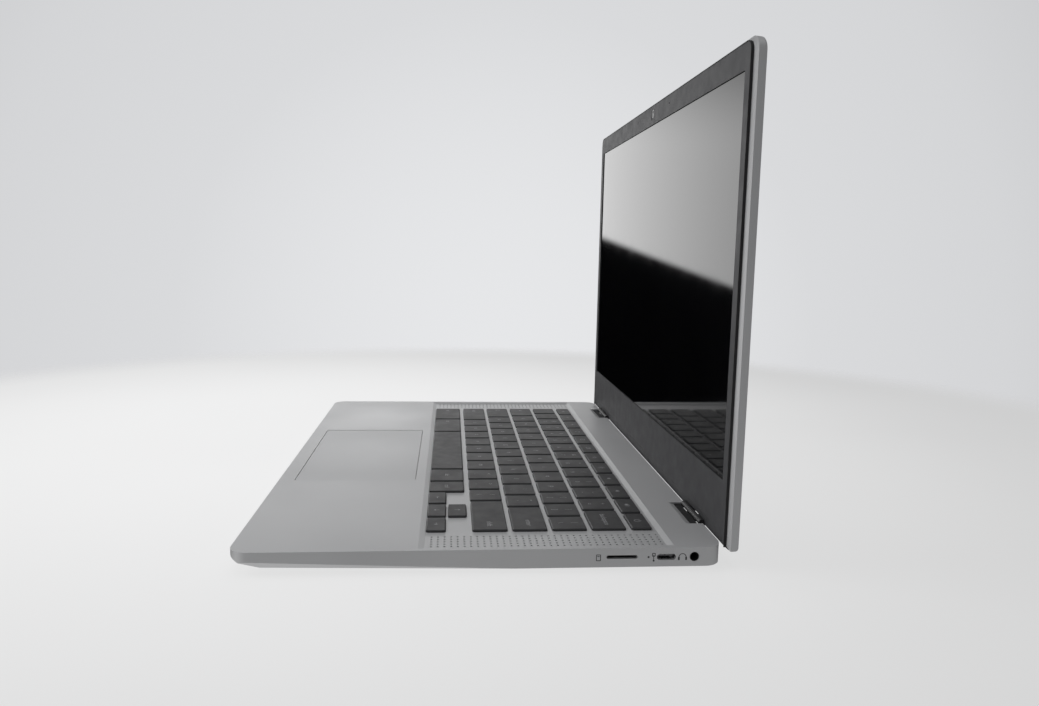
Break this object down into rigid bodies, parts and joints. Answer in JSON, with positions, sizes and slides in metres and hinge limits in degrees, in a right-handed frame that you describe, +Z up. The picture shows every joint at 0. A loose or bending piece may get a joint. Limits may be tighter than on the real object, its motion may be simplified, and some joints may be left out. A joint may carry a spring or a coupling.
{
  "type": "laptop computer",
  "caption": "Slim laptop computer, standing open at a right angle, with a keyboard, touch pad, speaker strips and a hinged flat display.",
  "frame": {"origin": "middle of the overall box's footprint, on the surface that the four rubber feet stand on, with the lid open at a right angle", "axes": "+X to the user's right along the keyboard, +Y away from the user towards the lid, +Z up"},
  "size_m": [0.3254, 0.218, 0.2246],
  "materials": {
    "case_metal": "fine satin, anodised silver",
    "cover_metal": "satin, anodised silver",
    "touch_surface": "smooth satin silver",
    "soft_rubber": "matt black",
    "key_plastic": "matt charcoal, fine texture",
    "bezel_plastic": "matt charcoal, fine grain",
    "screen_glass": "glossy black",
    "lens_glass": "glossy black",
    "hinge_steel": "satin black",
    "bright_steel": "fine machined",
    "inner_steel": "rolled sheet",
    "black_plastic": "matt black",
    "battery_wrap": "satin black film",
    "circuit_board": "satin green lacquer",
    "light_lens": "smoke grey, translucent"
  },
  "bodies": {
    "base": {"top_case": "case_metal", "bottom_cover": "cover_metal", "foot_front_left": "soft_rubber", "foot_front_right": "soft_rubber", "foot_rear_left": "soft_rubber", "foot_rear_right": "soft_rubber", "bottom_screws": "bright_steel", "keyboard_plate": "inner_steel", "trackpad_bracket": "inner_steel", "battery": "battery_wrap", "mainboard": "circuit_board", "speaker_left": "black_plastic", "speaker_right": "black_plastic", "usb_c_port": "bright_steel", "card_socket": "inner_steel", "audio_jack": "black_plastic", "status_led": "light_lens", "hinge_well_left": "black_plastic", "hinge_well_right": "black_plastic", "hinge_bracket_left": "hinge_steel", "hinge_bracket_right": "hinge_steel", "hinge_screws": "bright_steel"},
    "lid": {"lid_cover": "case_metal", "display_panel": "screen_glass", "bezel": "bezel_plastic", "lid_gasket": "soft_rubber", "camera_module": "lens_glass", "lid_arm_left": "hinge_steel", "lid_arm_right": "hinge_steel", "hinge_pin_left": "hinge_steel", "hinge_pin_right": "hinge_steel", "lid_screws": "bright_steel"},
    "trackpad": {"trackpad": "touch_surface"},
    "escape_key": {"escape_key": "key_plastic"},
    "function_keys": {"function_keys": "key_plastic"},
    "power_key": {"power_key": "key_plastic"},
    "number_keys": {"number_keys": "key_plastic"},
    "backspace_key": {"backspace_key": "key_plastic"},
    "tab_key": {"tab_key": "key_plastic"},
    "upper_letter_keys": {"upper_letter_keys": "key_plastic"},
    "search_key": {"search_key": "key_plastic"},
    "home_letter_keys": {"home_letter_keys": "key_plastic"},
    "enter_key": {"enter_key": "key_plastic"},
    "left_shift_key": {"left_shift_key": "key_plastic"},
    "lower_letter_keys": {"lower_letter_keys": "key_plastic"},
    "right_shift_key": {"right_shift_key": "key_plastic"},
    "left_ctrl_key": {"left_ctrl_key": "key_plastic"},
    "left_alt_key": {"left_alt_key": "key_plastic"},
    "space_key": {"space_key": "key_plastic"},
    "right_alt_key": {"right_alt_key": "key_plastic"},
    "right_ctrl_key": {"right_ctrl_key": "key_plastic"},
    "left_arrow_key": {"left_arrow_key": "key_plastic"},
    "down_arrow_key": {"down_arrow_key": "key_plastic"},
    "up_arrow_key": {"up_arrow_key": "key_plastic"},
    "right_arrow_key": {"right_arrow_key": "key_plastic"}
  },
  "joints": [
    {"name": "lid_hinge", "type": "hinge", "parent": "base", "child": "lid", "pos_m": [0, 0.1018, 0.0097], "axis": [-1, 0, 0], "range_deg": [-90, 45]},
    {"name": "trackpad_click", "type": "hinge", "parent": "base", "child": "trackpad", "pos_m": [0, -0.0359, 0.00948], "axis": [1, 0, 0], "range_deg": [0, 0.4], "stiffness_Nm_per_rad": 6, "springref_deg": -1.72},
    {"name": "escape_key_press", "type": "slide", "parent": "base", "child": "escape_key", "axis": [0, 0, -1], "range_m": [0, 0.0013], "stiffness_N_per_m": 400, "springref_m": -0.0012},
    {"name": "function_key_press", "type": "slide", "parent": "base", "child": "function_keys", "axis": [0, 0, -1], "range_m": [0, 0.0013], "stiffness_N_per_m": 400, "springref_m": -0.0012},
    {"name": "power_key_press", "type": "slide", "parent": "base", "child": "power_key", "axis": [0, 0, -1], "range_m": [0, 0.0013], "stiffness_N_per_m": 400, "springref_m": -0.0012},
    {"name": "number_key_press", "type": "slide", "parent": "base", "child": "number_keys", "axis": [0, 0, -1], "range_m": [0, 0.0013], "stiffness_N_per_m": 400, "springref_m": -0.0012},
    {"name": "backspace_key_press", "type": "slide", "parent": "base", "child": "backspace_key", "axis": [0, 0, -1], "range_m": [0, 0.0013], "stiffness_N_per_m": 400, "springref_m": -0.0012},
    {"name": "tab_key_press", "type": "slide", "parent": "base", "child": "tab_key", "axis": [0, 0, -1], "range_m": [0, 0.0013], "stiffness_N_per_m": 400, "springref_m": -0.0012},
    {"name": "upper_letter_key_press", "type": "slide", "parent": "base", "child": "upper_letter_keys", "axis": [0, 0, -1], "range_m": [0, 0.0013], "stiffness_N_per_m": 400, "springref_m": -0.0012},
    {"name": "search_key_press", "type": "slide", "parent": "base", "child": "search_key", "axis": [0, 0, -1], "range_m": [0, 0.0013], "stiffness_N_per_m": 400, "springref_m": -0.0012},
    {"name": "home_letter_key_press", "type": "slide", "parent": "base", "child": "home_letter_keys", "axis": [0, 0, -1], "range_m": [0, 0.0013], "stiffness_N_per_m": 400, "springref_m": -0.0012},
    {"name": "enter_key_press", "type": "slide", "parent": "base", "child": "enter_key", "axis": [0, 0, -1], "range_m": [0, 0.0013], "stiffness_N_per_m": 400, "springref_m": -0.0012},
    {"name": "left_shift_key_press", "type": "slide", "parent": "base", "child": "left_shift_key", "axis": [0, 0, -1], "range_m": [0, 0.0013], "stiffness_N_per_m": 400, "springref_m": -0.0012},
    {"name": "lower_letter_key_press", "type": "slide", "parent": "base", "child": "lower_letter_keys", "axis": [0, 0, -1], "range_m": [0, 0.0013], "stiffness_N_per_m": 400, "springref_m": -0.0012},
    {"name": "right_shift_key_press", "type": "slide", "parent": "base", "child": "right_shift_key", "axis": [0, 0, -1], "range_m": [0, 0.0013], "stiffness_N_per_m": 400, "springref_m": -0.0012},
    {"name": "left_ctrl_key_press", "type": "slide", "parent": "base", "child": "left_ctrl_key", "axis": [0, 0, -1], "range_m": [0, 0.0013], "stiffness_N_per_m": 400, "springref_m": -0.0012},
    {"name": "left_alt_key_press", "type": "slide", "parent": "base", "child": "left_alt_key", "axis": [0, 0, -1], "range_m": [0, 0.0013], "stiffness_N_per_m": 400, "springref_m": -0.0012},
    {"name": "space_key_press", "type": "slide", "parent": "base", "child": "space_key", "axis": [0, 0, -1], "range_m": [0, 0.0013], "stiffness_N_per_m": 400, "springref_m": -0.0012},
    {"name": "right_alt_key_press", "type": "slide", "parent": "base", "child": "right_alt_key", "axis": [0, 0, -1], "range_m": [0, 0.0013], "stiffness_N_per_m": 400, "springref_m": -0.0012},
    {"name": "right_ctrl_key_press", "type": "slide", "parent": "base", "child": "right_ctrl_key", "axis": [0, 0, -1], "range_m": [0, 0.0013], "stiffness_N_per_m": 400, "springref_m": -0.0012},
    {"name": "left_arrow_key_press", "type": "slide", "parent": "base", "child": "left_arrow_key", "axis": [0, 0, -1], "range_m": [0, 0.0013], "stiffness_N_per_m": 400, "springref_m": -0.0012},
    {"name": "down_arrow_key_press", "type": "slide", "parent": "base", "child": "down_arrow_key", "axis": [0, 0, -1], "range_m": [0, 0.0013], "stiffness_N_per_m": 400, "springref_m": -0.0012},
    {"name": "up_arrow_key_press", "type": "slide", "parent": "base", "child": "up_arrow_key", "axis": [0, 0, -1], "range_m": [0, 0.0013], "stiffness_N_per_m": 400, "springref_m": -0.0012},
    {"name": "right_arrow_key_press", "type": "slide", "parent": "base", "child": "right_arrow_key", "axis": [0, 0, -1], "range_m": [0, 0.0013], "stiffness_N_per_m": 400, "springref_m": -0.0012}
  ]
}
